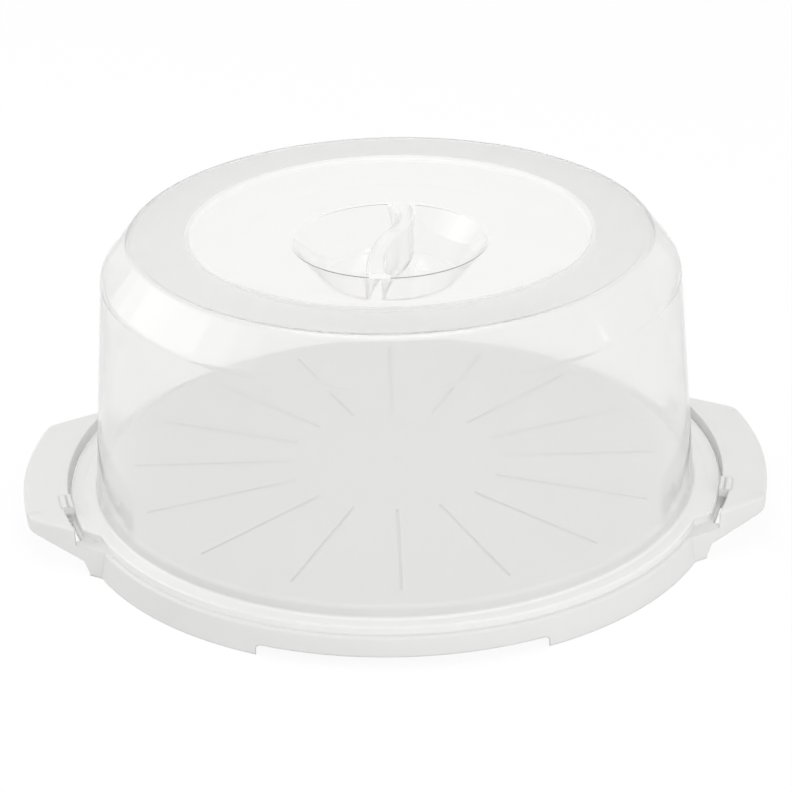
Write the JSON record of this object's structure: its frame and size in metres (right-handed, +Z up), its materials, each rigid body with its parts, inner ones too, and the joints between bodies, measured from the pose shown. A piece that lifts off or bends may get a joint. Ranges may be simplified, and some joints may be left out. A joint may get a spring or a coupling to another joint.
{
  "type": "cake carrier",
  "caption": "Round cake carrier: a low white tray with two wing handles and a clear lift-off cover with a sunk S-shaped grip.",
  "frame": {"origin": "middle of the tray on the table plane", "axes": "+Z up, +X through one handle, -Y the front"},
  "size_m": [0.36, 0.309, 0.145],
  "materials": {
    "tray_plastic": "satin moulded polypropylene, slightly translucent white",
    "clear_plastic": "clear moulded plastic, gloss"
  },
  "bodies": {
    "tray": {"tray": "tray_plastic"},
    "cover": {"cover": "clear_plastic"}
  },
  "joints": [
    {"name": "cover_lift", "type": "slide", "parent": "tray", "child": "cover", "axis": [0, 0, 1], "range_m": [0, 0.2]}
  ]
}
